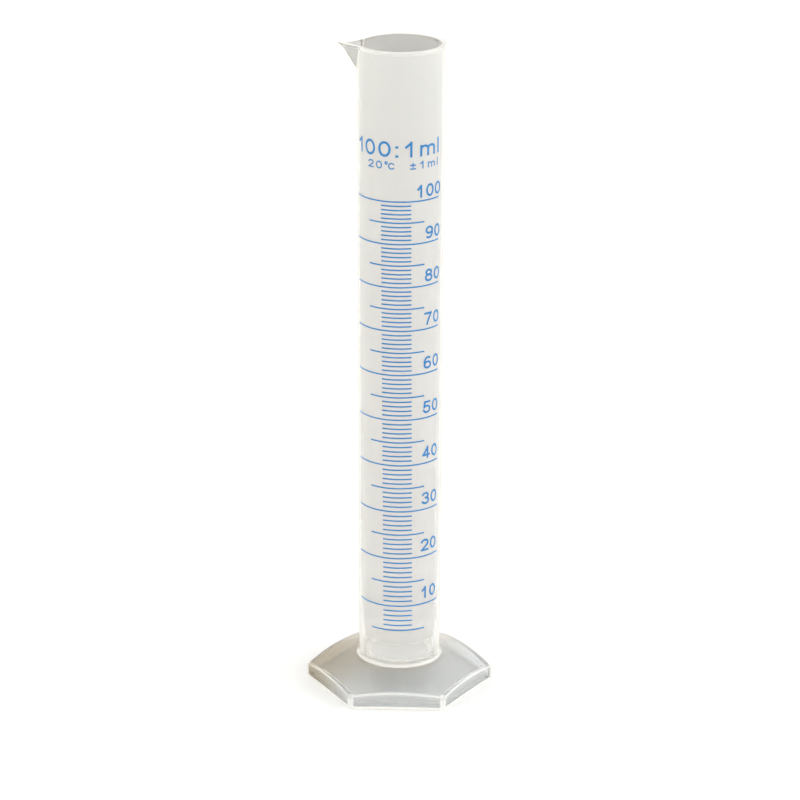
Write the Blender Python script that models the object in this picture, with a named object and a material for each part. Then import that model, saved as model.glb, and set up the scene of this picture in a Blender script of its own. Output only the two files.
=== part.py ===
"""A 100 ml graduated measuring cylinder: a measuring tube with a pouring spout, standing in a hexagonal foot.

Metres, +Z up. The origin is the centre of the foot's underside, on the surface that it stands on. +Z is
the tube's axis. One flat side of the foot faces -Y, two of its corners lie on the X axis, and the spout
points to -X.
"""

import math

import bmesh
import bpy
from mathutils import Vector

MM = 0.001

# Driving dimensions of the whole object
TOTAL_HEIGHT = 243 * MM
SEAT_HEIGHT = 10.6 * MM  # where the tube meets the foot's sloping top

# Measuring tube: an injection moulding, so both its faces taper
TUBE_RADIUS_LOW = 14.94 * MM  # outside, just above the heel
TUBE_RADIUS_HIGH = 15.53 * MM  # outside, at the rim
BORE_RADIUS_LOW = 12.88 * MM  # inside, at the floor
BORE_RADIUS_HIGH = 14.5 * MM  # inside, at the rim
HEEL_RADIUS = 15.3 * MM
HEEL_HEIGHT = 3.0 * MM
FLOOR_THICKNESS = 1.4 * MM
FLOOR_CORNER = 1.5 * MM  # radius between the floor and the bore
LIP_PROUD = 0.62 * MM
LIP_DEPTH = 1.6 * MM
LIP_INNER_ROUND = 0.45 * MM

# Pouring spout: two flat sides that meet in a sloping ridge
SPOUT_REACH = 22.1 * MM  # from the axis to the outside of the tip, under the lip
SPOUT_HALF_ANGLE = math.radians(27)  # where its sides meet the rim, about the axis
SPOUT_DEPTH = 10.4 * MM  # below the rim, where the ridge runs into the tube
SPOUT_WALL = 0.8 * MM
SPOUT_LIP_PROUD = 0.2 * MM

# Hexagonal foot: a shell of even thickness, open underneath
ACROSS_FLATS = 59.7 * MM
CORNER_ROUND = 1.8 * MM
TOP_SLOPE = 0.256  # of the sloping top, next to the tube
TOP_CURVE = 1.51  # how fast that slope grows outwards, per metre
EDGE_ROUND = 1.34 * MM
BOTTOM_ROUND = 0.5 * MM
INNER_CORNER_ROUND = 1 * MM
CAVITY_DRAFT = 0.3 * MM
CAVITY_ROUND = 0.8 * MM
FOOT_WALL = 1.6 * MM
SEAT_DEPTH = 0.8 * MM

# Small gaps and allowances
FIT_GAP = 0.3 * MM  # between the tube's heel and its seat
OVERLAP = 5 * MM  # how far a cutter runs past what it cuts
COPLANAR_STEP = 0.04 * MM  # keeps two top faces from lying in one plane

# Fineness
TURNED_SEGMENTS = 96
ARC_STEPS = 4
FLAT_STEPS = 10
CORNER_STEPS = 5
BOTTOM_STEPS = 3
TOP_LOOPS = (0.3, 0.6, 0.85)  # where loops run between the seat and the foot's edge


def clear_scene():
    for thing in list(bpy.data.objects):
        bpy.data.objects.remove(thing)


def plastic(name, colour, roughness, transmission):
    material = bpy.data.materials.new(name)
    material.use_nodes = True
    shader = material.node_tree.nodes["Principled BSDF"]
    shader.inputs["Base Color"].default_value = (*colour, 1)
    shader.inputs["Roughness"].default_value = roughness
    shader.inputs["Metallic"].default_value = 0
    shader.inputs["IOR"].default_value = 1.49
    shader.inputs["Transmission Weight"].default_value = transmission
    return material


def new_object(name, mesh_builder, material=None):
    mesh = bpy.data.meshes.new(name)
    bmesh.ops.recalc_face_normals(mesh_builder, faces=mesh_builder.faces)
    mesh_builder.to_mesh(mesh)
    mesh_builder.free()
    made = bpy.data.objects.new(name, mesh)
    bpy.context.scene.collection.objects.link(made)
    if material:
        mesh.materials.append(material)
        mesh.shade_smooth()
        mesh.set_sharp_from_angle(angle=math.radians(30))
    return made


def lofted(name, loops, material=None):
    """A closed body skinned over loops of points, in order. Its first and last loops are single points."""
    builder = bmesh.new()
    rows = [[builder.verts.new(point) for point in loop] for loop in loops]
    for row, following in zip(rows, rows[1:]):
        count = max(len(row), len(following))
        for i in range(count):
            j = (i + 1) % count
            corners = [
                row[i % len(row)],
                row[j % len(row)],
                following[j % len(following)],
                following[i % len(following)],
            ]
            builder.faces.new(dict.fromkeys(corners))
    return new_object(name, builder, material)


def turned(name, profile, material=None):
    """A closed body of revolution. The profile is a list of (radius, height) from axis to axis."""
    loops = [circle(radius, height) for radius, height in profile]
    return lofted(name, loops, material)


def circle(radius, height):
    if radius == 0:
        return [Vector((0, 0, height))]
    turns = [math.tau * i / TURNED_SEGMENTS for i in range(TURNED_SEGMENTS)]
    return [Vector((radius * math.cos(turn), radius * math.sin(turn), height)) for turn in turns]


def arc(centre, radius, start, end, steps=ARC_STEPS):
    """Points of a circular arc in the (radius, height) plane, from one angle in degrees to another."""
    angles = [math.radians(start + (end - start) * i / steps) for i in range(steps + 1)]
    return [(centre[0] + radius * math.cos(a), centre[1] + radius * math.sin(a)) for a in angles]


def hull(name, points):
    """A convex body around the points, used to build or cut another."""
    builder = bmesh.new()
    for point in points:
        builder.verts.new(point)
    bmesh.ops.convex_hull(builder, input=builder.verts)
    return new_object(name, builder)


def combine(body, operation, *tools):
    """Adds or cuts several shapes in one step. They stay in the scene as hidden wires."""
    group = bpy.data.collections.new(f"{body.name}_{operation.lower()}")
    modifier = body.modifiers.new(group.name, "BOOLEAN")
    modifier.operation = operation
    modifier.operand_type = "COLLECTION"
    modifier.collection = group
    modifier.solver = "EXACT"
    for tool in tools:
        group.objects.link(tool)
        tool.hide_render = True
        tool.display_type = "WIRE"


def tube_outside(height):
    """The tube's outer radius at a height, between its heel and its rim."""
    low = SEAT_HEIGHT + HEEL_HEIGHT
    share = (height - low) / (TOTAL_HEIGHT - low)
    return TUBE_RADIUS_LOW + share * (TUBE_RADIUS_HIGH - TUBE_RADIUS_LOW)


def bore(height):
    share = (height - SEAT_HEIGHT) / (TOTAL_HEIGHT - SEAT_HEIGHT)
    return BORE_RADIUS_LOW + share * (BORE_RADIUS_HIGH - BORE_RADIUS_LOW)


def tube_bottom():
    return SEAT_HEIGHT - SEAT_DEPTH + FIT_GAP


def tube_blank_profile():
    """The outside of the tube, filled: flat bottom, flared heel, tapered side and rounded lip."""
    bottom = tube_bottom()
    heel_top = SEAT_HEIGHT + HEEL_HEIGHT
    lip_foot = TOTAL_HEIGHT - LIP_DEPTH
    lip_radius = TUBE_RADIUS_HIGH + LIP_PROUD
    bulge = LIP_DEPTH / 2
    flare = HEEL_RADIUS - TUBE_RADIUS_LOW
    profile = [(0, bottom), (HEEL_RADIUS, bottom), (HEEL_RADIUS, SEAT_HEIGHT)]
    profile += [
        (TUBE_RADIUS_LOW + flare * (1 - share) ** 2, SEAT_HEIGHT + share * HEEL_HEIGHT)
        for share in (0.25, 0.5, 0.75)
    ]
    profile += [(TUBE_RADIUS_LOW, heel_top)]
    profile += [(tube_outside(lip_foot), lip_foot)]
    profile += arc((lip_radius - bulge, TOTAL_HEIGHT - bulge), bulge, -45, 90, 2 * ARC_STEPS)
    profile += [(0, TOTAL_HEIGHT)]
    return profile


def bore_profile():
    """The tube's hollow: flat floor, rounded corner, tapered wall and the rounded inner side of the lip."""
    floor = tube_bottom() + FLOOR_THICKNESS
    corner_centre = (bore(floor) - FLOOR_CORNER, floor + FLOOR_CORNER)
    lip_centre = (BORE_RADIUS_HIGH + LIP_INNER_ROUND, TOTAL_HEIGHT - LIP_INNER_ROUND)
    profile = [(0, floor)]
    profile += arc(corner_centre, FLOOR_CORNER, -90, 0)
    profile += arc(lip_centre, LIP_INNER_ROUND, 180, 90)
    profile += [(BORE_RADIUS_HIGH + LIP_INNER_ROUND, TOTAL_HEIGHT + OVERLAP), (0, TOTAL_HEIGHT + OVERLAP)]
    return profile


def spout_frame():
    """The spout's tip, one of its two junctions with the rim and the foot of its ridge, all outside."""
    top = TOTAL_HEIGHT - COPLANAR_STEP
    tip = Vector((-SPOUT_REACH, 0, top))
    junction = Vector((-math.cos(SPOUT_HALF_ANGLE), math.sin(SPOUT_HALF_ANGLE), 0)) * TUBE_RADIUS_HIGH
    junction.z = top
    ridge_foot_height = TOTAL_HEIGHT - SPOUT_DEPTH
    ridge_foot = Vector((-tube_outside(ridge_foot_height), 0, ridge_foot_height))
    return tip, junction, ridge_foot


def spout_wedge(name, inset, top, low):
    """A wedge bounded by the spout's two sides, both moved in by an amount, between two heights."""
    tip, junction, ridge_foot = spout_frame()
    side_normal = (junction - tip).cross(ridge_foot - tip).normalized()
    shift = inset / abs(side_normal.x)
    run = (ridge_foot - tip) / (tip.z - ridge_foot.z)  # along the ridge, for each metre of fall
    widening = (junction.y - tip.y) / (junction.x - tip.x)  # of one side, for each metre towards the axis
    base_x = -TUBE_RADIUS_LOW / 2  # well inside the bore
    points = []
    for level in (top, low):
        start = tip + run * (tip.z - level) + Vector((shift, 0, 0))
        reach = base_x - start.x
        points.append(start)
        points += [start + Vector((reach, side * widening * reach, 0)) for side in (-1, 1)]
    return hull(name, points)


def make_tube(material):
    tube = turned("measuring_tube", tube_blank_profile(), material)
    below_ridge = TOTAL_HEIGHT - SPOUT_DEPTH - OVERLAP
    lip_top = TOTAL_HEIGHT - 2 * COPLANAR_STEP
    body = spout_wedge("spout_outside", 0, TOTAL_HEIGHT - COPLANAR_STEP, below_ridge)
    lip = spout_wedge("spout_lip", -SPOUT_LIP_PROUD, lip_top, TOTAL_HEIGHT - LIP_DEPTH)
    channel = spout_wedge("spout_channel", SPOUT_WALL, TOTAL_HEIGHT + OVERLAP, below_ridge)
    hollow = turned("bore_core", bore_profile())
    combine(tube, "UNION", body, lip)
    combine(tube, "DIFFERENCE", hollow, channel)
    return tube


def hexagon(inset=0):
    """The foot's outline with rounded corners, moved in by an amount, at height zero."""
    radius = max(CORNER_ROUND - inset, INNER_CORNER_ROUND)
    corner_distance = (ACROSS_FLATS / 2 - inset - radius) / math.cos(math.radians(30))
    points = []
    for side in range(6):
        corner = math.radians(60 * side)
        centre = direction(corner) * corner_distance
        for step in range(CORNER_STEPS + 1):
            points.append(centre + direction(corner + math.radians(60 * step / CORNER_STEPS - 30)) * radius)
        next_centre = direction(corner + math.radians(60)) * corner_distance
        outward = direction(corner + math.radians(30))
        for step in range(1, FLAT_STEPS):
            points.append(centre.lerp(next_centre, step / FLAT_STEPS) + outward * radius)
    return points


def direction(angle):
    return Vector((math.cos(angle), math.sin(angle), 0))


def at_height(points, height):
    return [Vector((p.x, p.y, height)) for p in points]


def on_top(points):
    """The points dropped onto the foot's sloping top."""
    return [Vector((p.x, p.y, foot_top(p.to_2d().length))) for p in points]


def round_loop(radius, height):
    """A circle with its points on the same rays as the hexagon's."""
    return at_height([p.normalized() * radius for p in hexagon()], height)


def foot_top(radius):
    """The height of the foot's sloping top at a distance from the axis."""
    out = radius - HEEL_RADIUS
    return SEAT_HEIGHT - TOP_SLOPE * out - TOP_CURVE * out * out


def foot_outside():
    """Loops from the seat's edge down the sloping top, round its edge and down the sides to the underside."""
    slope = math.atan(TOP_SLOPE + 2 * TOP_CURVE * (ACROSS_FLATS / 2 - HEEL_RADIUS))
    edge_turn = math.pi / 2 - slope
    drop = EDGE_ROUND * math.tan(edge_turn / 2)
    rim = on_top(hexagon())
    edge_loops = []
    for step in range(ARC_STEPS, -1, -1):
        angle = edge_turn * step / ARC_STEPS
        outline = hexagon(EDGE_ROUND * (1 - math.cos(angle)))
        rise = EDGE_ROUND * math.sin(angle) - drop
        edge_loops.append([Vector((p.x, p.y, q.z + rise)) for p, q in zip(outline, rim)])
    seat_radius = HEEL_RADIUS + FIT_GAP
    seat_edge = round_loop(seat_radius, foot_top(seat_radius))
    loops = [seat_edge]
    for share in TOP_LOOPS:
        loops.append(on_top([a.lerp(b, share) for a, b in zip(seat_edge, edge_loops[0])]))
    loops += edge_loops
    for step in range(BOTTOM_STEPS + 1):
        angle = math.pi / 2 * step / BOTTOM_STEPS
        outline = hexagon(BOTTOM_ROUND * (1 - math.cos(angle)))
        loops.append(at_height(outline, BOTTOM_ROUND * (1 - math.sin(angle))))
    return loops


def foot_cavity():
    """Loops from the underside up the inside of the six sides and in under the sloping top."""
    wall_inside = hexagon(FOOT_WALL + CAVITY_DRAFT)
    ceiling = on_top(hexagon(FOOT_WALL + CAVITY_DRAFT + CAVITY_ROUND))
    loops = [hexagon(FOOT_WALL)]
    for across, up in arc((0, 0), CAVITY_ROUND, 0, 75):
        share = 1 - across / CAVITY_ROUND
        drop = FOOT_WALL + CAVITY_ROUND - up
        corner = [a.lerp(b, share) for a, b in zip(wall_inside, ceiling)]
        loops.append([Vector((p.x, p.y, q.z - drop)) for p, q in zip(corner, ceiling)])
    seat_edge = round_loop(HEEL_RADIUS + FOOT_WALL, 0)
    middle = on_top([a.lerp(b, 0.5) for a, b in zip(ceiling, seat_edge)])
    loops.append([Vector((p.x, p.y, p.z - FOOT_WALL)) for p in middle])
    loops.append(at_height(seat_edge, SEAT_HEIGHT - SEAT_DEPTH - FOOT_WALL))
    return loops


def make_foot(material):
    seat_floor = SEAT_HEIGHT - SEAT_DEPTH
    loops = [
        [Vector((0, 0, seat_floor))],
        round_loop(HEEL_RADIUS + FIT_GAP, seat_floor),
    ]
    loops += foot_outside()
    loops += foot_cavity()
    loops.append([Vector((0, 0, seat_floor - FOOT_WALL))])
    return lofted("hexagonal_foot", loops, material)


def main():
    clear_scene()
    milky = plastic("milky_polypropylene", (0.86, 0.86, 0.83), 0.35, 0.4)
    clear = plastic("clear_polypropylene", (0.72, 0.74, 0.72), 0.18, 0.8)
    make_tube(milky)
    make_foot(clear)


main()
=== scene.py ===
"""The looks of a 100 ml measuring cylinder: a milky tube, a clearer hexagonal foot, a blue scale.

Metres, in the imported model's frame: +Z up along the tube, the origin under the middle of the foot,
one flat side of the foot towards -Y and the spout towards -X.
"""

import math

import bmesh
import bpy
import numpy as np
from mathutils import Matrix, Vector


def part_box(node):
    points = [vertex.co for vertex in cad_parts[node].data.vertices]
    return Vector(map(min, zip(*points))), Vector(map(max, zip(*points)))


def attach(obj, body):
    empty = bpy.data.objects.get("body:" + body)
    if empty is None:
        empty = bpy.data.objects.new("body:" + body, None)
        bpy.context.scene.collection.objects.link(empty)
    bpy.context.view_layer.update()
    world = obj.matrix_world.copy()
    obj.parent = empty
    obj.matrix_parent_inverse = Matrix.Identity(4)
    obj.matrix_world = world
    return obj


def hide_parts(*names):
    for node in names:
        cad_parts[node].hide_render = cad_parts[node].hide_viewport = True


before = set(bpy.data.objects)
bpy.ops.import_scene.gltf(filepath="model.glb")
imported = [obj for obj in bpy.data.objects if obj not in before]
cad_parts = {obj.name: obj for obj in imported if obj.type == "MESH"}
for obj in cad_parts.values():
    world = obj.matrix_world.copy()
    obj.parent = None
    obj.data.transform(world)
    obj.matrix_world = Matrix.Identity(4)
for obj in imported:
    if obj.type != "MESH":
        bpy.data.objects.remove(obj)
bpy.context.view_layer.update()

MM = 0.001
tube_low, tube_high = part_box("measuring_tube")
foot_low, foot_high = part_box("hexagonal_foot")

# Tube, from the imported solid
TOP = tube_high.z
TUBE_BOTTOM = tube_low.z
RIM_RADIUS = tube_high.x
LIP_PROUD = 0.62 * MM
LIP_DEPTH = 1.6 * MM
LIP_INNER_ROUND = 0.45 * MM
TUBE_RADIUS_HIGH = RIM_RADIUS - LIP_PROUD
TUBE_RADIUS_LOW = TUBE_RADIUS_HIGH - 0.59 * MM
BORE_RADIUS_HIGH = TUBE_RADIUS_HIGH - 1.03 * MM
BORE_RADIUS_LOW = TUBE_RADIUS_LOW - 2.06 * MM
HEEL_RADIUS = TUBE_RADIUS_LOW + 0.36 * MM
HEEL_HEIGHT = 3 * MM
HEEL_SHARES = (0.4, 0.55, 0.7, 0.85, 1)  # of its height, where the rows of its flare lie
FLOOR_HEIGHT = TUBE_BOTTOM + 1.4 * MM
FLOOR_CORNER = 1.5 * MM
WALL_ROWS = 20  # outside, and as many inside

# Spout
SPOUT_REACH = 22.1 * MM
SPOUT_HALF_ANGLE = math.radians(27)
SPOUT_DEPTH = 10.4 * MM
SPOUT_MARGIN = 2 * MM  # how far below the spout the rows that follow its outline start
SPOUT_WALL = 0.8 * MM
SPOUT_ROUND = 0.3 * MM  # how softly its faces run into each other
SPOUT_LIP_SHARE = 0.3  # how proud the lip stands on the spout, beside the rest of the rim
SPOUT_ROWS = 36
CHANNEL_ROWS = 40

# Foot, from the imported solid
ACROSS_FLATS = foot_high.y - foot_low.y
SEAT_HEIGHT = foot_high.z + 0.077 * MM  # where its sloping top would meet the heel
CORNER_ROUND = 1.8 * MM
TOP_SLOPE = 0.256
TOP_CURVE = 1.51
EDGE_ROUND = 1.34 * MM
BOTTOM_ROUND = 0.5 * MM
INNER_CORNER_ROUND = 1 * MM
CAVITY_DRAFT = 0.3 * MM
CAVITY_ROUND = 0.8 * MM
FOOT_WALL = 1.6 * MM
CORNER_STEPS = 10
FLAT_SHARES = (0.012, 0.03, 0.05) + tuple(np.linspace(0.08, 0.92, 22)) + (0.95, 0.97, 0.988)
TOP_SHARES = (0, 0.05, 0.2, 0.35, 0.5, 0.65, 0.8, 0.9, 0.96)  # from the weld out to the edge
CEILING_SHARES = (0, 0.05, 0.2, 0.4, 0.6, 0.8, 0.95)  # from its rounded corner in to the tube

# Weld between them. The bead's points say how proud of the heel and how high above the seat
WELD_HEIGHT = SEAT_HEIGHT - 0.15 * MM  # of the foot's face under the tube
WELD_GAP = 0.05 * MM  # keeps the tube's base off that face
WELD_INSET = 0.5 * MM
WELD_BEAD_MM = ((-0.1, 0.05), (0.42, -0.08), (0.5, 0.1), (0.38, 0.35), (0.16, 0.55), (0.02, 0.8))

# How milky the plastic looks, from 0 where it's clear to 1 where it's white
WALL_MILKINESS = 0.45
INSIDE_MILKINESS = 0.25
SPOUT_MILKINESS = 0.22
RIDGE_WIDTH = math.radians(1.8)  # of the white line along the spout's ridge, and those at its sides
JOINT_MILKINESS = 0.9
LIP_TOP_MILKINESS = 0.9
MOUTH_MILKINESS = 0.4
BASE_MILKINESS = 0.3
WELD_MILKINESS = 0.6
HEEL_MILKINESS = 0.25
FLOOR_MILKINESS = 0.5
CLEAR_LENGTH = 35 * MM  # the wall gets clearer towards the foot over its last stretch
FOOT_TOP_MILKINESS = 0.12
EDGE_MILKINESS = (0, 0.2, 0.35, 0.5, 0.55, 0.5, 0.35, 0.2, 0.1)  # round the edge, from the top on
EDGE_CORNER_MILKINESS = 0.6
SIDE_CORNER_MILKINESS = 0.8
CORNER_END_MILKINESS = 0.4
SIDE_LAYERS = ((0.06, 0), (0.3, 0), (0.6, 0), (0.82, 0), (0.86, 0.9))  # share down, milkiness
CEILING_EDGE_MILKINESS = 0.3

# Painted shade inside the tube, from 0 to 1, its painted glow, and the finish of both plastics
FADE_LOW = -60 * MM  # the shade grows with height, from 0 at this height
FADE_HIGH = 90 * MM  # to 1 at this one
BORE_SHADE = 0.7  # the most that it gets to in the bore
SPOUT_SHADE = 0.3  # added in the spout's channel
PAINTED_GLOW_HIGH = 28 * MM  # painted light: the inside glows below this, as if with the light that the thick floor gathers
MILKY_ROUGHNESS = 0.14  # added where the plastic is milky

# Painted highlight band and painted warm dark outline along the tube's silhouette, by how far a face
# turns away, from 0 facing to 1 edge-on
PAINTED_EDGE_BAND_START = 0.4
PAINTED_EDGE_BAND = ((0.46, 0.1), (0.78, 0.7), (0.92, 1))  # how milky it looks from there on: a painted highlight that follows the view
OUTLINE_RANGE = (0.77, 0.9)
# painted shade: multiplies the colour at the very edge of the silhouette
PAINTED_OUTLINE_SHADE = (0.62, 0.57, 0.48, 1)

# Printed scale. Angles are about the tube's axis, from -Y towards +X
LOWEST_MARK = 5  # millilitres
HIGHEST_MARK = 100
LOWEST_MARK_HEIGHT = 25.3 * MM
SCALE_RADIUS = 12.84 * MM  # of the bore that the scale is drawn for, at the lowest mark
SCALE_TAPER = 0.0091  # how much wider that bore gets, for each metre up
MARK_HALF_ANGLES = {1: math.radians(20.5), 5: math.radians(39.5), 10: math.radians(67)}
MARK_THICKNESS = 0.5 * MM
MARK_TURN = -0.6  # degrees, of the middle of the lowest mark
MARK_DRIFT = 0.0235  # degrees that the marks' middle turns back for each millimetre up
INK_LOW = 0.01 * MM  # off the tube
INK_HIGH = 0.04 * MM
DEGREE = "\u00b0"
PLUS_MINUS = "\u00b1"
GLYPH_SHARES = {"1": 0.55, "m": 1.4, ":": 0.22, DEGREE: 0.5, PLUS_MINUS: 0.9}  # of a digit's width
GAP_AFTER_ONE = 1.4  # added at the right of a 1, as a share of the gap
NUMERAL_STYLE = {
    "cap_height": 4.7 * MM,
    "stroke": 0.76 * MM,
    "digit_width": 3.55 * MM,
    "gap": 0.7 * MM,
}
LEGEND_STYLE = {"cap_height": 5.7 * MM, "stroke": 0.85 * MM, "digit_width": 4.75 * MM}
SMALL_STYLE = {"cap_height": 2.85 * MM, "stroke": 0.45 * MM, "digit_width": 2.45 * MM}
LEGEND = (  # characters with the angles of their left edges in degrees, baseline and style
    (
        (("1", -68.2), ("0", -51.3), ("0", -28.8), (":", -5), ("1", 7.7), ("m", 28.2), ("l", 58.6)),
        205.2 * MM,
        LEGEND_STYLE,
    ),
    (
        (("2", -45.3), ("0", -32.3), (DEGREE, -19.8), ("C", -14.8)),
        200.75 * MM,
        SMALL_STYLE,
    ),
    (
        ((PLUS_MINUS, 14.2), ("1", 28.2), ("m", 40.2), ("l", 58)),
        200.75 * MM,
        SMALL_STYLE,
    ),
)

# Light: the room's own radiance, and patches given by direction, narrowness and radiance
ROOM = (0.98, 0.98, 0.975)
PATCHES = (
    ((0.2, -0.9, 0.3), 4, (0.55, 0.56, 0.57)),
    ((1, -0.1, 0.2), 8, (2.2, 2.18, 2.1)),
    ((-1, -0.2, 0.15), 16, (2.8, 2.65, 2.25)),
)


def smooth_max(a, b, blend):
    overlap = np.clip(blend - np.abs(a - b), 0, None) / blend
    return np.maximum(a, b) + overlap * overlap * blend / 4


def smooth_min(a, b, blend):
    return -smooth_max(-a, -b, blend)


def skinned(name, layers, inside_from):
    """An object skinned over rows of points, each with its milkiness. A row of one point is a pole.

    The rows from number inside_from on are the piece's inside, and they alone get the painted inside
    shade.
    """
    rows = [row for row, milkiness in layers]
    points = np.concatenate(rows)
    starts = np.cumsum([0] + [len(row) for row in rows])
    faces = []
    for row, start, following, next_start in zip(rows, starts, rows[1:], starts[1:]):
        count = max(len(row), len(following))
        for i in range(count):
            j = (i + 1) % count
            corners = (
                start + i % len(row),
                start + j % len(row),
                next_start + j % len(following),
                next_start + i % len(following),
            )
            faces.append(tuple(dict.fromkeys(int(corner) for corner in corners)))
    mesh = bpy.data.meshes.new(name)
    mesh.from_pydata(points.tolist(), [], faces)
    milky = [np.broadcast_to(milkiness, len(row)) for row, milkiness in layers]
    set_attribute(mesh, "milky", np.concatenate(milky))
    is_inside = np.arange(len(points)) >= starts[inside_from]
    # painted shade: how much each inside point is darkened
    set_attribute(mesh, "inside", np.where(is_inside, inside_shade(points), 0))
    tidy_normals(mesh)
    return add_object(name, mesh)


def inside_shade(points):
    """The painted shade on the inside, how dark it looks: more with height, and more still in the
    spout's channel.
    """
    by_height = np.clip((points[:, 2] - FADE_LOW) / (FADE_HIGH - FADE_LOW), 0, BORE_SHADE)
    in_spout = np.clip((-points[:, 0] - BORE_RADIUS_HIGH) / MM, 0, SPOUT_SHADE)
    return by_height + in_spout


def set_attribute(mesh, name, values):
    layer = mesh.attributes.new(name, "FLOAT", "POINT")
    layer.data.foreach_set("value", values.astype(np.float32))


def tidy_normals(mesh, sharp=math.radians(40)):
    builder = bmesh.new()
    builder.from_mesh(mesh)
    bmesh.ops.recalc_face_normals(builder, faces=builder.faces)
    builder.to_mesh(mesh)
    builder.free()
    mesh.shade_smooth()
    mesh.set_sharp_from_angle(angle=sharp)


def add_object(name, mesh):
    made = bpy.data.objects.new(name, mesh)
    bpy.context.scene.collection.objects.link(made)
    return made


def arc_angles(start, end, steps):
    return [math.radians(start + (end - start) * i / steps) for i in range(steps + 1)]


# ---------------------------------------------------------------- tube


def tube_outside(height):
    low = SEAT_HEIGHT + HEEL_HEIGHT
    share = (height - low) / (TOP - low)
    return TUBE_RADIUS_LOW + share * (TUBE_RADIUS_HIGH - TUBE_RADIUS_LOW)


def bore(height):
    share = (height - SEAT_HEIGHT) / (TOP - SEAT_HEIGHT)
    return BORE_RADIUS_LOW + share * (BORE_RADIUS_HIGH - BORE_RADIUS_LOW)


def spout_side():
    """The plane of the spout's side towards +Y, as a unit normal and a distance.

    X here is the reach from the axis, so the spout points to +X.
    """
    ridge_foot_height = TOP - SPOUT_DEPTH
    tip = Vector((SPOUT_REACH, 0, TOP))
    towards_junction = Vector((math.cos(SPOUT_HALF_ANGLE), math.sin(SPOUT_HALF_ANGLE), 0))
    junction = towards_junction * TUBE_RADIUS_HIGH
    junction.z = TOP
    ridge_foot = Vector((tube_outside(ridge_foot_height), 0, ridge_foot_height))
    normal = (junction - tip).cross(ridge_foot - tip).normalized()
    if normal.x < 0:
        normal.negate()
    return normal, normal.dot(tip)


SIDE_NORMAL, SIDE_DISTANCE = spout_side()


def column_angles():
    """Angles from the spout's direction, close together where the spout is."""
    spout_edge = 32
    fine_step = 0.4
    coarse_step = 2
    fine = np.arange(-spout_edge, spout_edge, fine_step)
    coarse = np.arange(spout_edge, 360 - spout_edge, coarse_step)
    return np.radians(np.concatenate([fine, coarse]))


TURNS = column_angles()


def tube_row(radius, height, side_offset):
    """The tube's outline with its spout, at a height. side_offset moves the spout's sides out."""
    level = SIDE_DISTANCE + side_offset - SIDE_NORMAL.z * height
    ahead = np.cos(TURNS)
    across = np.sin(TURNS)
    near_spout = ahead > 0.5  # within 60 degrees of the spout's direction
    least = 0.05  # a ray nearly along a side meets it far away, not behind the axis
    towards = np.where(near_spout, SIDE_NORMAL.x * ahead, 1)
    sideways = np.where(near_spout, SIDE_NORMAL.y * across, 0)
    one_side = level / np.maximum(towards + sideways, least)
    other_side = level / np.maximum(towards - sideways, least)
    wedge = smooth_min(one_side, other_side, SPOUT_ROUND)
    wedge = np.where(near_spout, wedge, 0)
    reach = smooth_max(np.full_like(wedge, radius), wedge, SPOUT_ROUND)
    return np.column_stack([-reach * ahead, reach * across, np.full_like(reach, height)])


def ring(radius, height):
    heights = np.full_like(TURNS, height)
    return np.column_stack([-radius * np.cos(TURNS), radius * np.sin(TURNS), heights])


def pole(height):
    return np.array([[0, 0, height]])


def make_tube():
    spout_low = TOP - SPOUT_DEPTH - SPOUT_MARGIN
    lip_low = TOP - LIP_DEPTH - 0.35 * MM
    # Base and weld bead, which lies on the edge of the seat
    base_height = WELD_HEIGHT + WELD_GAP
    layers = [(pole(base_height), BASE_MILKINESS)]
    layers.append((ring(HEEL_RADIUS - WELD_INSET, base_height), WELD_MILKINESS))
    for proud, above_seat in WELD_BEAD_MM:
        row = ring(HEEL_RADIUS + proud * MM, SEAT_HEIGHT + above_seat * MM)
        layers.append((row, WELD_MILKINESS))
    # Heel
    flare = HEEL_RADIUS - TUBE_RADIUS_LOW
    for share in HEEL_SHARES:
        row = ring(TUBE_RADIUS_LOW + flare * (1 - share) ** 2, SEAT_HEIGHT + share * HEEL_HEIGHT)
        layers.append((row, HEEL_MILKINESS * (1 - share)))
    # Outer wall, then the spout's outside
    for height in np.linspace(SEAT_HEIGHT + HEEL_HEIGHT, spout_low, WALL_ROWS)[1:]:
        layers.append((ring(tube_outside(height), height), fading_down(WALL_MILKINESS, height)))
    for height in np.linspace(spout_low, lip_low, SPOUT_ROWS)[1:]:
        row = tube_row(tube_outside(height), height, 0)
        layers.append((row, spout_edges(height, WALL_MILKINESS)))
    layers += lip_layers()
    # Inside, down to the floor
    inside_from = len(layers)
    edge_height = TOP - LIP_INNER_ROUND - 0.05 * MM
    layers.append((tube_row(bore(edge_height), edge_height, -SPOUT_WALL), MOUTH_MILKINESS))
    for height in np.linspace(TOP - LIP_INNER_ROUND, spout_low, CHANNEL_ROWS)[1:]:
        row = tube_row(bore(height), height, -SPOUT_WALL)
        layers.append((row, spout_edges(height, INSIDE_MILKINESS)))
    for height in np.linspace(spout_low, FLOOR_HEIGHT + FLOOR_CORNER, WALL_ROWS)[1:]:
        layers.append((ring(bore(height), height), fading_down(INSIDE_MILKINESS, height)))
    corner = bore(FLOOR_HEIGHT) - FLOOR_CORNER
    for angle in arc_angles(0, -90, 6)[1:]:
        radius = corner + FLOOR_CORNER * math.cos(angle)
        layers.append((ring(radius, FLOOR_HEIGHT + FLOOR_CORNER * (1 + math.sin(angle))), 1))
    layers.append((ring(corner - 0.5 * MM, FLOOR_HEIGHT), FLOOR_MILKINESS))
    layers.append((ring(corner / 2, FLOOR_HEIGHT), FLOOR_MILKINESS))
    layers.append((pole(FLOOR_HEIGHT), FLOOR_MILKINESS))
    return skinned("measuring_tube_shell", layers, inside_from)


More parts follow.
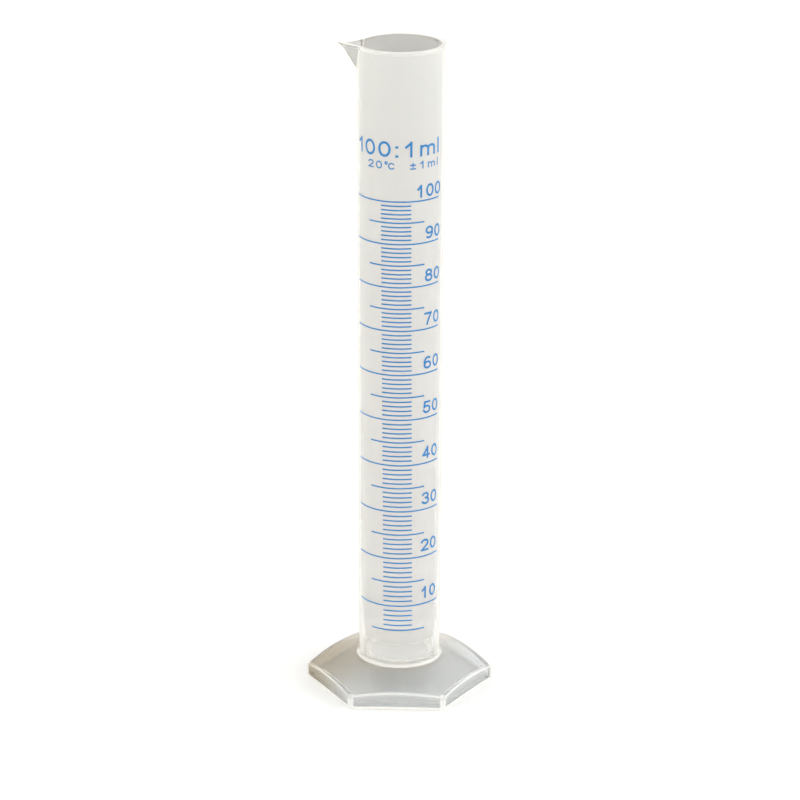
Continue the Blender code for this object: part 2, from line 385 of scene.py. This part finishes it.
def lip_layers():
    """The lip's half-round outside with a fillet under it, and the round of its inner edge."""
    layers = []
    half = LIP_DEPTH / 2
    profile = [(0.06 * MM, TOP - LIP_DEPTH - 0.08 * MM), (0.2 * MM, TOP - LIP_DEPTH + 0.1 * MM)]
    for angle in arc_angles(-45, 90, 12):
        proud = LIP_PROUD - half + half * math.cos(angle)
        profile.append((proud, TOP - half + half * math.sin(angle)))
    for proud, height in profile:
        row = tube_row(tube_outside(height) + proud, height, proud * SPOUT_LIP_SHARE)
        layers.append((row, lip_milkiness(height)))
    for angle in arc_angles(90, 180, 6):
        inset = LIP_INNER_ROUND * (1 + math.cos(angle))
        height = TOP - LIP_INNER_ROUND * (1 - math.sin(angle))
        layers.append((tube_row(bore(height) + inset, height, inset - SPOUT_WALL), 1))
    return layers


def fading_down(milkiness, height):
    """The wall is clearest near the floor, where the melt was hottest."""
    return milkiness * min(1, max(0, (height - SEAT_HEIGHT) / CLEAR_LENGTH))


def from_spout():
    """Each column's angle from the spout's direction, whichever way round."""
    return np.abs(np.mod(TURNS + math.pi, 2 * math.pi) - math.pi)


def lip_milkiness(height):
    """The lip turns white towards its top, and on the spout only its topmost edge does."""
    up = (height - TOP + LIP_DEPTH) / LIP_DEPTH
    beside_spout = np.clip((from_spout() - SPOUT_HALF_ANGLE) / math.radians(3), 0, 1)
    on_rim = 0.4 + 0.2 * up
    on_spout = LIP_TOP_MILKINESS * np.clip((up - 0.7) / 0.2, 0, 1)
    return np.maximum(on_rim * beside_spout, on_spout * (1 - beside_spout))


def spout_edges(height, elsewhere):
    """How milky the spout is along its ridge and along the two lines where it meets the tube."""
    depth = (TOP - height) / SPOUT_DEPTH
    if depth > 1:
        return np.full_like(TURNS, elsewhere)
    turn = from_spout()
    joint = SPOUT_HALF_ANGLE * (1 - depth)
    ridge = np.exp(-((turn / RIDGE_WIDTH) ** 4))
    joint_line = np.exp(-(((turn - joint) / RIDGE_WIDTH) ** 4))
    edges = np.maximum(ridge, JOINT_MILKINESS * joint_line)
    on_spout = np.clip((joint - turn) / math.radians(2), 0, 1)
    return np.maximum(edges, elsewhere * (1 - on_spout) + SPOUT_MILKINESS * on_spout)


# ---------------------------------------------------------------- foot


def foot_top(radius):
    out = radius - HEEL_RADIUS
    return SEAT_HEIGHT - TOP_SLOPE * out - TOP_CURVE * out * out


def hexagon(inset=0.0):
    """The foot's outline with rounded corners, moved in by an amount, as rows of X and Y."""
    radius = max(CORNER_ROUND - inset, INNER_CORNER_ROUND)
    corner_distance = (ACROSS_FLATS / 2 - inset - radius) / math.cos(math.radians(30))
    points = []
    for side in range(6):
        corner = math.radians(60 * side)
        centre = direction(corner) * corner_distance
        for step in range(CORNER_STEPS + 1):
            outward = direction(corner + math.radians(60 * step / CORNER_STEPS - 30))
            points.append(centre + outward * radius)
        next_centre = direction(corner + math.radians(60)) * corner_distance
        outward = direction(corner + math.radians(30))
        for share in FLAT_SHARES:
            points.append(centre * (1 - share) + next_centre * share + outward * radius)
    return np.array(points)


def corner_milkiness():
    """1 round the foot's corners and 0 along its flat sides, for each point of its outline."""
    flat = [0] * len(FLAT_SHARES)
    flat[0] = CORNER_END_MILKINESS
    flat[-1] = CORNER_END_MILKINESS
    return np.array(([1] * (CORNER_STEPS + 1) + flat) * 6)


def direction(angle):
    return np.array([math.cos(angle), math.sin(angle)])


def with_height(points, heights):
    return np.column_stack([points, np.broadcast_to(heights, len(points))])


def on_top(points):
    return with_height(points, foot_top(np.linalg.norm(points, axis=1)))


def make_foot():
    outline = hexagon()
    corners = corner_milkiness()
    rays = outline / np.linalg.norm(outline, axis=1)[:, None]
    layers = [(pole(WELD_HEIGHT), 0)]
    layers.append((with_height(rays * (HEEL_RADIUS - 0.3 * MM), WELD_HEIGHT), 0))
    # Sloping top, then its rounded edge
    slope = math.atan(TOP_SLOPE + 2 * TOP_CURVE * (ACROSS_FLATS / 2 - HEEL_RADIUS))
    edge_turn = math.pi / 2 - slope
    drop = EDGE_ROUND * math.tan(edge_turn / 2)
    rim_height = on_top(outline)[:, 2]
    edge_layers = []
    for angle, milkiness in zip(np.linspace(edge_turn, 0, len(EDGE_MILKINESS)), EDGE_MILKINESS):
        rounded = hexagon(EDGE_ROUND * (1 - math.cos(angle)))
        row = with_height(rounded, rim_height + EDGE_ROUND * math.sin(angle) - drop)
        edge_layers.append((row, np.maximum(milkiness, EDGE_CORNER_MILKINESS * corners)))
    inner = rays * (HEEL_RADIUS + 0.1 * MM)
    edge_start = edge_layers[0][0][:, :2]
    for share in TOP_SHARES:
        row = on_top(inner * (1 - share) + edge_start * share)
        layers.append((row, FOOT_TOP_MILKINESS))
    layers += edge_layers
    # Six sides and the edge that it stands on
    for share, milkiness in SIDE_LAYERS:
        side = edge_layers[-1][0].copy()
        side[:, 2] = side[:, 2] * (1 - share) + BOTTOM_ROUND * share
        layers.append((side, np.maximum(milkiness, SIDE_CORNER_MILKINESS * corners)))
    for angle in arc_angles(0, 90, 5):
        rounded = hexagon(BOTTOM_ROUND * (1 - math.cos(angle)))
        layers.append((with_height(rounded, BOTTOM_ROUND * (1 - math.sin(angle))), 1))
    layers.append((with_height(hexagon(FOOT_WALL - 0.3 * MM), 0), 1))
    layers.append((with_height(hexagon(FOOT_WALL), 0.3 * MM), 1))
    # Inside: walls, rounded corner and ceiling
    inside_from = len(layers)
    layers.append((with_height(hexagon(FOOT_WALL), 0.6 * MM), 0))
    ceiling = hexagon(FOOT_WALL + CAVITY_DRAFT + CAVITY_ROUND)
    ceiling_height = on_top(ceiling)[:, 2] - FOOT_WALL
    for angle in arc_angles(0, 75, 6):
        rounded = hexagon(FOOT_WALL + CAVITY_DRAFT + CAVITY_ROUND * (1 - math.cos(angle)))
        row = with_height(rounded, ceiling_height - CAVITY_ROUND * (1 - math.sin(angle)))
        layers.append((row, CEILING_EDGE_MILKINESS))
    under_tube = rays * HEEL_RADIUS
    for share in CEILING_SHARES:
        part = ceiling * (1 - share) + under_tube * share
        row = with_height(part, foot_top(np.linalg.norm(part, axis=1)) - FOOT_WALL)
        layers.append((row, 0))
    layers.append((pole(SEAT_HEIGHT - FOOT_WALL), 0))
    return skinned("hexagonal_foot_shell", layers, inside_from)


# ---------------------------------------------------------------- printed scale


def mark_height(millilitres):
    """The height at which the bore that the scale is drawn for holds that much."""
    volume = (millilitres - LOWEST_MARK) * 1e-6
    wider = SCALE_RADIUS**3 + 3 * SCALE_TAPER * volume / math.pi
    return LOWEST_MARK_HEIGHT + (wider ** (1 / 3) - SCALE_RADIUS) / SCALE_TAPER


def print_middle(height):
    """The angle of the marks' middle, which drifts a little round the tube with height."""
    return math.radians(MARK_TURN - MARK_DRIFT * (height - LOWEST_MARK_HEIGHT) / MM)


def on_tube(angle, height, proud):
    radius = tube_outside(height) + proud
    return (radius * math.sin(angle), -radius * math.cos(angle), height)


def ink_band(builder, start, end, height, thickness):
    """A thin band of ink round the tube from one angle to another."""
    steps = max(2, round(math.degrees(end - start) / 2))  # about 2 degrees each
    previous = None
    for i in range(steps + 1):
        angle = start + (end - start) * i / steps
        corners = [(height - thickness / 2, INK_LOW), (height + thickness / 2, INK_LOW)]
        corners += [(height + thickness / 2, INK_HIGH), (height - thickness / 2, INK_HIGH)]
        section = [builder.verts.new(on_tube(angle, level, proud)) for level, proud in corners]
        if previous is None:
            builder.faces.new(section)
        else:
            for a, b in ((0, 1), (1, 2), (2, 3), (3, 0)):
                builder.faces.new((previous[a], previous[b], section[b], section[a]))
        previous = section
    builder.faces.new(previous[::-1])


def make_marks(name, step, others):
    """All marks of one length: those at whole steps that aren't whole steps of the others too."""
    builder = bmesh.new()
    for millilitres in range(LOWEST_MARK, HIGHEST_MARK + 1):
        if millilitres % step or any(millilitres % other == 0 for other in others):
            continue
        height = mark_height(millilitres)
        middle = print_middle(height)
        half = MARK_HALF_ANGLES[step]
        ink_band(builder, middle - half, middle + half, height, MARK_THICKNESS)
    return printed(name, builder)


def ellipse(centre, half_width, half_height, start=0.0, end=360.0):
    steps = max(6, round(abs(end - start) / 15))
    points = []
    for i in range(steps + 1):
        angle = math.radians(start + (end - start) * i / steps)
        across = centre[0] + half_width * math.cos(angle)
        points.append((across, centre[1] + half_height * math.sin(angle)))
    return points


def glyph_strokes(character):
    """A character's strokes as centre lines in a box that runs from 0 to 1 both ways."""
    x_height = 0.68
    if character == "0":
        return [ellipse((0.5, 0.5), 0.5, 0.5)]
    if character == "1":
        return [[(1, 0), (1, 1)], [(0.75, 0.9), (0, 0.68)]]
    if character == "2":
        return [ellipse((0.5, 0.71), 0.5, 0.29, 165, -32) + [(0.1, 0.06)], [(0, 0), (1, 0)]]
    if character == "3":
        upper = ellipse((0.47, 0.77), 0.43, 0.23, 155, -85)
        return [upper, ellipse((0.48, 0.27), 0.5, 0.27, 85, -155)]
    if character == "4":
        return [[(0.72, 0), (0.72, 1)], [(0.68, 0.92), (0.06, 0.3)], [(0, 0.25), (1, 0.25)]]
    if character == "5":
        bowl = ellipse((0.47, 0.31), 0.5, 0.31, 140, -160)
        return [[(0.2, 1), (0.95, 1)], [(0.15, 1), (0.06, 0.5)], bowl]
    if character == "6":
        return [ellipse((0.5, 0.29), 0.5, 0.29), ellipse((0.58, 0.5), 0.58, 0.5, 62, 195)]
    if character == "7":
        return [[(0, 1), (1, 1)], [(0.93, 0.92), (0.55, 0.42), (0.33, 0)]]
    if character == "8":
        return [ellipse((0.5, 0.77), 0.42, 0.23), ellipse((0.5, 0.27), 0.5, 0.27)]
    if character == "9":
        return [[(1 - x, 1 - y) for x, y in stroke] for stroke in glyph_strokes("6")]
    if character == "m":
        first = ellipse((0.25, x_height - 0.2), 0.25, 0.2, 170, 0) + [(0.5, 0)]
        second = ellipse((0.75, x_height - 0.2), 0.25, 0.2, 170, 0) + [(1, 0)]
        return [[(0, 0), (0, x_height)], first, second]
    if character == "l":
        return [[(0.5, 0), (0.5, 1)]]
    if character == ":":
        return [[(0, 0), (1, 0)], [(0, x_height), (1, x_height)]]
    if character == "C":
        return [ellipse((0.5, 0.42), 0.5, 0.42, 45, 315)]
    if character == DEGREE:
        return [ellipse((0.5, 0.86), 0.5, 0.17)]
    if character == PLUS_MINUS:
        return [[(0, 0.55), (1, 0.55)], [(0.5, 0.3), (0.5, 0.8)], [(0, 0), (1, 0)]]
    raise ValueError(character)


def resampled(line, longest):
    points = [line[0]]
    for start, end in zip(line, line[1:]):
        parts = max(1, math.ceil(math.dist(start, end) / longest))
        for i in range(1, parts + 1):
            across = start[0] + (end[0] - start[0]) * i / parts
            points.append((across, start[1] + (end[1] - start[1]) * i / parts))
    return points


def ink_stroke(builder, line, width, to_tube):
    """A stroke of ink along a flat line in metres, laid on the tube.

    Its open ends run on by half its width.
    """
    points = np.array(resampled(line, longest=0.5 * MM))
    steps = np.diff(points, axis=0)
    steps /= np.linalg.norm(steps, axis=1)[:, None]
    closed = math.dist(points[0], points[-1]) < 1e-9
    if closed:
        before = np.vstack([steps[-1:], steps])
        after = np.vstack([steps, steps[:1]])
    else:
        points[0] -= steps[0] * width / 2
        points[-1] += steps[-1] * width / 2
        before = np.vstack([steps[:1], steps])
        after = np.vstack([steps, steps[-1:]])
    mitre = (before + after) / (1 + np.sum(before * after, axis=1))[:, None]
    sideways = np.column_stack([-mitre[:, 1], mitre[:, 0]]) * width / 2
    sections = []
    for point, side in zip(points, sideways):
        left = point - side
        right = point + side
        corners = [(left, INK_LOW), (right, INK_LOW), (right, INK_HIGH), (left, INK_HIGH)]
        sections.append([builder.verts.new(to_tube(edge, proud)) for edge, proud in corners])
    if closed:
        sections[-1] = sections[0]
    else:
        builder.faces.new(sections[0])
        builder.faces.new(sections[-1][::-1])
    for section, following in zip(sections, sections[1:]):
        for a, b in ((0, 1), (1, 2), (2, 3), (3, 0)):
            builder.faces.new((section[a], section[b], following[b], following[a]))


def glyph_width(character, style):
    if character == "l":
        return style["stroke"]
    return style["digit_width"] * GLYPH_SHARES.get(character, 1)


def write_glyph(builder, character, left, baseline, style):
    """One character on the tube, from the angle of its left edge."""
    stroke = style["stroke"]
    width = glyph_width(character, style) - stroke
    height = style["cap_height"] - stroke
    radius = tube_outside(baseline)

    def to_tube(point, proud):
        return on_tube(left + point[0] / radius, baseline + point[1], proud)

    for line in glyph_strokes(character):
        flat = [(stroke / 2 + u * width, stroke / 2 + v * height) for u, v in line]
        ink_stroke(builder, flat, stroke, to_tube)


def write_right_aligned(builder, text, right, baseline, style):
    radius = tube_outside(baseline)
    edge = right
    for character in reversed(text):
        if character == "1":
            edge -= style["gap"] * GAP_AFTER_ONE / radius
        left = edge - glyph_width(character, style) / radius
        write_glyph(builder, character, left, baseline, style)
        edge = left - style["gap"] / radius


def make_numerals():
    """The numbers over the long marks. Their lift and right edge drift a little, as printed."""
    builder = bmesh.new()
    for millilitres in range(10, HIGHEST_MARK + 1, 10):
        height = mark_height(millilitres)
        lift = (2.15 - 0.01 * millilitres) * MM
        right = math.radians(62.1 + 0.031 * (height / MM - 40))
        write_right_aligned(builder, str(millilitres), right, height + lift, NUMERAL_STYLE)
    return printed("scale_numerals", builder)


def make_legend():
    builder = bmesh.new()
    for line, baseline, style in LEGEND:
        for character, left in line:
            write_glyph(builder, character, math.radians(left), baseline, style)
    return printed("scale_legend", builder)


def printed(name, builder):
    mesh = bpy.data.meshes.new(name)
    builder.to_mesh(mesh)
    builder.free()
    tidy_normals(mesh)
    return add_object(name, mesh)


# ---------------------------------------------------------------- materials


def new_material(name):
    material = bpy.data.materials.new(name)
    material.use_nodes = True
    return material, material.node_tree.nodes, material.node_tree.links


def mixed_colour(nodes, links, share, first, second, blend="MIX"):
    mix = nodes.new("ShaderNodeMix")
    mix.data_type = "RGBA"
    mix.blend_type = blend
    colours = [socket for socket in mix.inputs if socket.type == "RGBA"]
    links.new(share, mix.inputs["Factor"])
    for socket, colour in zip(colours, (first, second)):
        if isinstance(colour, tuple):
            socket.default_value = colour
        else:
            links.new(colour, socket)
    return [socket for socket in mix.outputs if socket.type == "RGBA"][0]


def mapped(nodes, links, value, low, high, start=0, end=1):
    """The value, from start to end, mapped to run from low to high."""
    scale = nodes.new("ShaderNodeMapRange")
    scale.inputs["From Min"].default_value = start
    scale.inputs["From Max"].default_value = end
    scale.inputs["To Min"].default_value = low
    scale.inputs["To Max"].default_value = high
    links.new(value, scale.inputs["Value"])
    return scale.outputs["Result"]


def noise(nodes, links, size, detail=3):
    coordinates = nodes.new("ShaderNodeTexCoord")
    texture = nodes.new("ShaderNodeTexNoise")
    texture.inputs["Scale"].default_value = 1 / size
    texture.inputs["Detail"].default_value = detail
    links.new(coordinates.outputs["Object"], texture.inputs["Vector"])
    return texture.outputs["Fac"]


def milky_plastic(name, clear, milky, roughness, transmission, sheen, tube_painted_light=None):
    """Polypropylene that lets light through where it's clear and is white where it's milky.

    The mesh says how milky it is. For the tube it adds painted shade, a dark tint, and a painted
    glow on its inside, and along its silhouette a painted highlight band that ends in a painted warm
    dark outline, both following the view.
    """
    material, nodes, links = new_material(name)
    shader = nodes["Principled BSDF"]
    cloudy = noise(nodes, links, 12 * MM)
    colour = clear_tint(nodes, links, clear, cloudy)
    share = attribute(nodes, "milky")
    if tube_painted_light:
        inside = attribute(nodes, "inside")
        # painted shade: the inside's colour is darkened by this tint
        colour = mixed_colour(nodes, links, inside, colour, tube_painted_light["painted_inside_shade"], "MULTIPLY")
        add_glow(nodes, links, inside, tube_painted_light["glow"])
        # painted highlight band along the silhouette, following the view
        share = with_edge_band(nodes, links, share)
    colour = mixed_colour(nodes, links, share, colour, milky)
    if tube_painted_light:
        # painted warm dark line at the silhouette
        colour = with_outline(nodes, links, colour)
    links.new(colour, shader.inputs["Base Color"])
    rough = nodes.new("ShaderNodeMath")
    rough.operation = "MULTIPLY_ADD"
    rough.inputs[1].default_value = MILKY_ROUGHNESS
    links.new(share, rough.inputs[0])
    links.new(mapped(nodes, links, cloudy, *roughness), rough.inputs[2])
    links.new(rough.outputs["Value"], shader.inputs["Roughness"])
    see_through = mapped(nodes, links, share, *transmission)
    links.new(see_through, shader.inputs["Transmission Weight"])
    shader.inputs["IOR"].default_value = 1.49
    shader.inputs["Subsurface Weight"].default_value = 0.35
    shader.inputs["Subsurface Radius"].default_value = (0.8, 0.9, 1)
    shader.inputs["Subsurface Scale"].default_value = 0.7 * MM
    shader.inputs["Sheen Weight"].default_value = sheen
    shader.inputs["Sheen Roughness"].default_value = 0.25
    shader.inputs["Sheen Tint"].default_value = (1, 0.96, 0.86, 1)
    return material


def add_glow(nodes, links, inside, strength):
    """Painted light: a glow on its inside, stronger further down, as if the thick base gathered
    light and let it out there.
    """
    shader = nodes["Principled BSDF"]
    position = nodes.new("ShaderNodeNewGeometry")
    split = nodes.new("ShaderNodeSeparateXYZ")
    level = nodes.new("ShaderNodeMapRange")
    level.interpolation_type = "SMOOTHSTEP"
    level.inputs["From Min"].default_value = SEAT_HEIGHT
    level.inputs["From Max"].default_value = PAINTED_GLOW_HIGH
    level.inputs["To Min"].default_value = strength
    level.inputs["To Max"].default_value = 0
    links.new(position.outputs["Position"], split.inputs["Vector"])
    links.new(split.outputs["Z"], level.inputs["Value"])
    product = nodes.new("ShaderNodeMath")
    product.operation = "MULTIPLY"
    links.new(level.outputs["Result"], product.inputs[0])
    links.new(inside, product.inputs[1])
    links.new(product.outputs["Value"], shader.inputs["Emission Strength"])
    shader.inputs["Emission Color"].default_value = (1, 0.985, 0.96, 1)


def attribute(nodes, name):
    reader = nodes.new("ShaderNodeAttribute")
    reader.attribute_name = name
    return reader.outputs["Fac"]


def turned_away(nodes):
    """0 where a face looks straight at the viewer and 1 where it's edge-on."""
    facing = nodes.new("ShaderNodeLayerWeight")
    facing.inputs["Blend"].default_value = 0.5
    return facing.outputs["Facing"]


def with_edge_band(nodes, links, share):
    """Adds a pale band along a round wall's silhouette: a painted highlight that follows the view,
    standing in for the light that runs longest in the wall there.
    """
    ramp = nodes.new("ShaderNodeValToRGB")
    stops = ramp.color_ramp.elements
    stops.remove(stops[1])
    stops[0].position = PAINTED_EDGE_BAND_START
    for position, level in PAINTED_EDGE_BAND:
        stops.new(position).color = (level, level, level, 1)
    links.new(turned_away(nodes), ramp.inputs["Fac"])
    largest = nodes.new("ShaderNodeMath")
    largest.operation = "MAXIMUM"
    links.new(share, largest.inputs[0])
    links.new(ramp.outputs["Color"], largest.inputs[1])
    return largest.outputs["Value"]


def with_outline(nodes, links, colour):
    """Darkens the outermost part of that band with a warm tint, a painted shade line that follows
    the view along the silhouette.
    """
    outline = mapped(nodes, links, turned_away(nodes), 0, 1, *OUTLINE_RANGE)
    return mixed_colour(nodes, links, outline, colour, PAINTED_OUTLINE_SHADE, "MULTIPLY")


def clear_tint(nodes, links, clear, cloudy):
    """The clear colour: two close shades mixed by slow noise, and a third towards -X and +Y, the
    rear left, which is a painted reflection of the warm, dimmer surroundings there.
    """
    coordinates = nodes.new("ShaderNodeTexCoord")
    facing = nodes.new("ShaderNodeVectorMath")
    facing.operation = "DOT_PRODUCT"
    facing.inputs[1].default_value = (-0.65, 0.76, 0)
    links.new(coordinates.outputs["Object"], facing.inputs[0])
    # how far towards the rear left, where the painted reflection shows
    painted_reflection_share = nodes.new("ShaderNodeMapRange")
    painted_reflection_share.inputs["From Min"].default_value = -5 * MM
    painted_reflection_share.inputs["From Max"].default_value = 24 * MM
    links.new(facing.outputs["Value"], painted_reflection_share.inputs["Value"])
    plain = mixed_colour(nodes, links, cloudy, clear[0], clear[1])
    return mixed_colour(nodes, links, painted_reflection_share.outputs["Result"], plain, clear[2])


def tube_plastic():
    return milky_plastic(
        "milky_polypropylene",
        # the third colour is a painted reflection at the rear left
        clear=((0.955, 0.96, 0.95, 1), (0.965, 0.96, 0.945, 1), (0.95, 0.94, 0.91, 1)),
        milky=(1, 0.98, 0.915, 1),
        roughness=(0.03, 0.06),
        transmission=(0.9, 0.15),
        sheen=0.3,
        # painted shade and a painted glow on the tube's inside
        tube_painted_light={"painted_inside_shade": (0.29, 0.29, 0.295, 1), "glow": 0.45},
    )


def foot_plastic():
    return milky_plastic(
        "clear_polypropylene",
        # the third colour, tan, is a painted reflection at the rear left
        clear=((0.92, 0.94, 0.95, 1), (0.93, 0.945, 0.945, 1), (0.63, 0.54, 0.38, 1)),
        milky=(1, 0.985, 0.94, 1),
        roughness=(0.04, 0.07),
        transmission=(0.92, 0.25),
        sheen=0.1,
    )


def ink():
    material, nodes, links = new_material("scale_ink")
    shader = nodes["Principled BSDF"]
    worn = noise(nodes, links, 3 * MM)
    colour = mixed_colour(nodes, links, worn, (0.008, 0.16, 0.41, 1), (0.014, 0.19, 0.47, 1))
    links.new(colour, shader.inputs["Base Color"])
    shader.inputs["Roughness"].default_value = 0.45
    return material


# ---------------------------------------------------------------- stage


def make_camera():
    azimuth = math.radians(1.8)
    pitch = math.radians(19.403)
    roll = math.radians(0.151)
    distance = 1.2087
    height = 0.5355
    right = Vector((math.cos(azimuth), math.sin(azimuth), 0))
    ahead = Vector((-math.sin(azimuth), math.cos(azimuth), 0))
    forward = ahead * math.cos(pitch) - Vector((0, 0, math.sin(pitch)))
    up = right.cross(forward)
    rolled_right = right * math.cos(roll) + up * math.sin(roll)
    rolled_up = up * math.cos(roll) - right * math.sin(roll)
    camera_data = bpy.data.cameras.new("camera")
    camera_data.lens = 158.64
    camera_data.sensor_width = 36
    camera_data.clip_start = 0.05
    camera_data.clip_end = 50
    camera = bpy.data.objects.new("camera", camera_data)
    bpy.context.scene.collection.objects.link(camera)
    axes = Matrix((rolled_right, rolled_up, -forward)).transposed()
    place = -ahead * distance + Vector((0, 0, height))
    camera.matrix_world = Matrix.Translation(place) @ axes.to_4x4()
    bpy.context.scene.camera = camera


def make_floor():
    mesh = bpy.data.meshes.new("floor")
    builder = bmesh.new()
    bmesh.ops.create_circle(builder, cap_ends=True, segments=96, radius=12)
    builder.to_mesh(mesh)
    builder.free()
    floor = add_object("floor", mesh)
    floor.location.z = -0.05 * MM  # so that it doesn't share the foot's lowest plane
    material, nodes, links = new_material("studio_floor")
    shader = nodes["Principled BSDF"]
    shader.inputs["Base Color"].default_value = (0.95, 0.95, 0.945, 1)
    shader.inputs["Roughness"].default_value = 0.9
    shader.inputs["Specular IOR Level"].default_value = 0.1
    floor.data.materials.append(material)


def make_light():
    """A pale room with soft bright patches in front, at the right and at the left."""
    world = bpy.data.worlds.new("studio")
    bpy.context.scene.world = world
    world.use_nodes = True
    nodes = world.node_tree.nodes
    links = world.node_tree.links
    background = nodes["Background"]
    coordinates = nodes.new("ShaderNodeTexCoord")
    total = None
    for towards, narrowness, colour in PATCHES:
        facing = nodes.new("ShaderNodeVectorMath")
        facing.operation = "DOT_PRODUCT"
        facing.inputs[1].default_value = Vector(towards).normalized()
        links.new(coordinates.outputs["Generated"], facing.inputs[0])
        near_half = nodes.new("ShaderNodeMath")
        near_half.operation = "MAXIMUM"
        near_half.inputs[1].default_value = 0
        links.new(facing.outputs["Value"], near_half.inputs[0])
        falloff = nodes.new("ShaderNodeMath")
        falloff.operation = "POWER"
        falloff.inputs[1].default_value = narrowness
        links.new(near_half.outputs["Value"], falloff.inputs[0])
        patch = nodes.new("ShaderNodeVectorMath")
        patch.operation = "MULTIPLY_ADD"
        patch.inputs[1].default_value = colour
        patch.inputs[2].default_value = ROOM
        links.new(falloff.outputs["Value"], patch.inputs[0])
        if total:
            links.new(total, patch.inputs[2])
        total = patch.outputs["Vector"]
    links.new(total, background.inputs["Color"])
    bpy.context.scene.view_settings.view_transform = "Standard"


# ---------------------------------------------------------------- assembly


def finish_piece(piece, material, node=None):
    piece.data.materials.append(material)
    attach(piece, "root")
    if node:
        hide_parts(node)


make_camera()
finish_piece(make_tube(), tube_plastic(), "measuring_tube")
finish_piece(make_foot(), foot_plastic(), "hexagonal_foot")
scale_ink = ink()
finish_piece(make_marks("graduation_1_ml", 1, (5,)), scale_ink)
finish_piece(make_marks("graduation_5_ml", 5, (10,)), scale_ink)
finish_piece(make_marks("graduation_10_ml", 10, ()), scale_ink)
finish_piece(make_numerals(), scale_ink)
finish_piece(make_legend(), scale_ink)
make_floor()
make_light()
